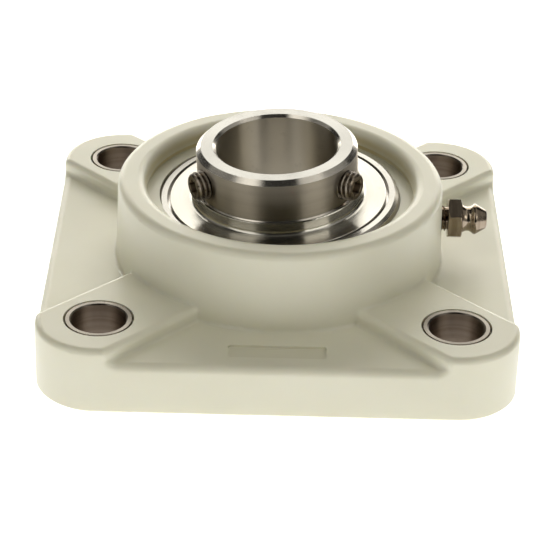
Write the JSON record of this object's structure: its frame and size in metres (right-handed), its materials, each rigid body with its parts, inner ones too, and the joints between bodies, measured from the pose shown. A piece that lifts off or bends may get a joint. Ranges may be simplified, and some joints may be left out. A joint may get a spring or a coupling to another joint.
{
  "type": "flange mount bearing",
  "caption": "Self-aligning insert ball bearing with set screws in a square moulded flange housing with bolt bushings and a grease nipple.",
  "frame": {"origin": "centre of the mounting face, which is also the centre of the four bolt holes", "axes": "+Z from the mounting face to the front of the unit, +X towards the grease nipple"},
  "size_m": [0.095, 0.095, 0.0369],
  "materials": {
    "housing_plastic": "satin moulded cream-white thermoplastic",
    "bushing_steel": "turned stainless steel",
    "nipple_steel": "turned and plated steel, glossy",
    "ball_steel": "polished hardened steel",
    "spring_steel": "drawn spring wire",
    "ring_steel": "ground stainless bearing steel",
    "flinger_steel": "polished pressed stainless sheet",
    "shield_steel": "pressed stainless sheet",
    "seal_rubber": "moulded nitrile rubber",
    "cage_steel": "pressed stainless sheet",
    "screw_steel": "stainless screw, thread rolled"
  },
  "bodies": {
    "housing": {"housing": "housing_plastic", "bolt_bushing_front_left": "bushing_steel", "bolt_bushing_front_right": "bushing_steel", "bolt_bushing_back_left": "bushing_steel", "bolt_bushing_back_right": "bushing_steel", "nipple_body": "nipple_steel", "nipple_spring": "spring_steel"},
    "nipple_valve": {"nipple_check_ball": "ball_steel"},
    "outer_ring": {"outer_ring": "ring_steel", "seal_shield_front": "shield_steel", "seal_lip_front": "seal_rubber", "seal_shield_back": "shield_steel", "seal_lip_back": "seal_rubber"},
    "inner_ring": {"inner_ring": "ring_steel", "flinger_front": "flinger_steel", "flinger_back": "flinger_steel"},
    "cage": {"cage_half_front": "cage_steel", "cage_half_back": "cage_steel", "cage_rivets": "cage_steel"},
    "ball_1": {"ball_1": "ball_steel"},
    "ball_2": {"ball_2": "ball_steel"},
    "ball_3": {"ball_3": "ball_steel"},
    "ball_4": {"ball_4": "ball_steel"},
    "ball_5": {"ball_5": "ball_steel"},
    "ball_6": {"ball_6": "ball_steel"},
    "ball_7": {"ball_7": "ball_steel"},
    "ball_8": {"ball_8": "ball_steel"},
    "ball_9": {"ball_9": "ball_steel"},
    "set_screw_right": {"set_screw_right": "screw_steel"},
    "set_screw_left": {"set_screw_left": "screw_steel"}
  },
  "joints": [
    {"name": "bearing_align", "type": "hinge", "parent": "housing", "child": "outer_ring", "pos_m": [0, 0, 0.016], "axis": [0.5373, -0.8434, 0], "range_deg": [-8.4, 1.6]},
    {"name": "shaft_spin", "type": "hinge", "parent": "outer_ring", "child": "inner_ring", "pos_m": [0, 0, 0.016], "axis": [-0.05, -0.0319, 0.9982], "continuous": true},
    {"name": "cage_orbit", "type": "hinge", "parent": "outer_ring", "child": "cage", "pos_m": [0, 0, 0.016], "axis": [-0.05, -0.0319, 0.9982], "continuous": true},
    {"name": "ball_1_spin", "type": "hinge", "parent": "cage", "child": "ball_1", "pos_m": [0.0195, -0.00002, 0.01698], "axis": [-0.05, -0.0319, 0.9982], "continuous": true},
    {"name": "ball_2_spin", "type": "hinge", "parent": "cage", "child": "ball_2", "pos_m": [0.01492, 0.01253, 0.01715], "axis": [-0.05, -0.0319, 0.9982], "continuous": true},
    {"name": "ball_3_spin", "type": "hinge", "parent": "cage", "child": "ball_3", "pos_m": [0.00337, 0.01921, 0.01678], "axis": [-0.05, -0.0319, 0.9982], "continuous": true},
    {"name": "ball_4_spin", "type": "hinge", "parent": "cage", "child": "ball_4", "pos_m": [-0.00976, 0.0169, 0.01605], "axis": [-0.05, -0.0319, 0.9982], "continuous": true},
    {"name": "ball_5_spin", "type": "hinge", "parent": "cage", "child": "ball_5", "pos_m": [-0.01833, 0.00669, 0.0153], "axis": [-0.05, -0.0319, 0.9982], "continuous": true},
    {"name": "ball_6_spin", "type": "hinge", "parent": "cage", "child": "ball_6", "pos_m": [-0.01831, -0.00666, 0.01487], "axis": [-0.05, -0.0319, 0.9982], "continuous": true},
    {"name": "ball_7_spin", "type": "hinge", "parent": "cage", "child": "ball_7", "pos_m": [-0.00973, -0.01689, 0.01497], "axis": [-0.05, -0.0319, 0.9982], "continuous": true},
    {"name": "ball_8_spin", "type": "hinge", "parent": "cage", "child": "ball_8", "pos_m": [0.0034, -0.01922, 0.01556], "axis": [-0.05, -0.0319, 0.9982], "continuous": true},
    {"name": "ball_9_spin", "type": "hinge", "parent": "cage", "child": "ball_9", "pos_m": [0.01494, -0.01255, 0.01635], "axis": [-0.05, -0.0319, 0.9982], "continuous": true},
    {"name": "set_screw_right_travel", "type": "slide", "parent": "inner_ring", "child": "set_screw_right", "axis": [-0.8428, 0.5377, -0.0251], "range_m": [-0.0015, 0.0026]},
    {"name": "set_screw_left_travel", "type": "slide", "parent": "inner_ring", "child": "set_screw_left", "axis": [0.8855, 0.4608, 0.0591], "range_m": [-0.0015, 0.0026]},
    {"name": "nipple_valve_travel", "type": "slide", "parent": "housing", "child": "nipple_valve", "axis": [-1, 0, 0], "range_m": [0, 0.0008], "stiffness_N_per_m": 500, "springref_m": -0.0005, "deforming": ["nipple_spring"]}
  ],
  "couplings": [
    {"joint": "cage_orbit", "follows": "shaft_spin", "ratio": 0.39833},
    {"joint": "ball_1_spin", "follows": "shaft_spin", "ratio": -2.3574},
    {"joint": "ball_2_spin", "follows": "shaft_spin", "ratio": -2.3574},
    {"joint": "ball_3_spin", "follows": "shaft_spin", "ratio": -2.3574},
    {"joint": "ball_4_spin", "follows": "shaft_spin", "ratio": -2.3574},
    {"joint": "ball_5_spin", "follows": "shaft_spin", "ratio": -2.3574},
    {"joint": "ball_6_spin", "follows": "shaft_spin", "ratio": -2.3574},
    {"joint": "ball_7_spin", "follows": "shaft_spin", "ratio": -2.3574},
    {"joint": "ball_8_spin", "follows": "shaft_spin", "ratio": -2.3574},
    {"joint": "ball_9_spin", "follows": "shaft_spin", "ratio": -2.3574}
  ]
}
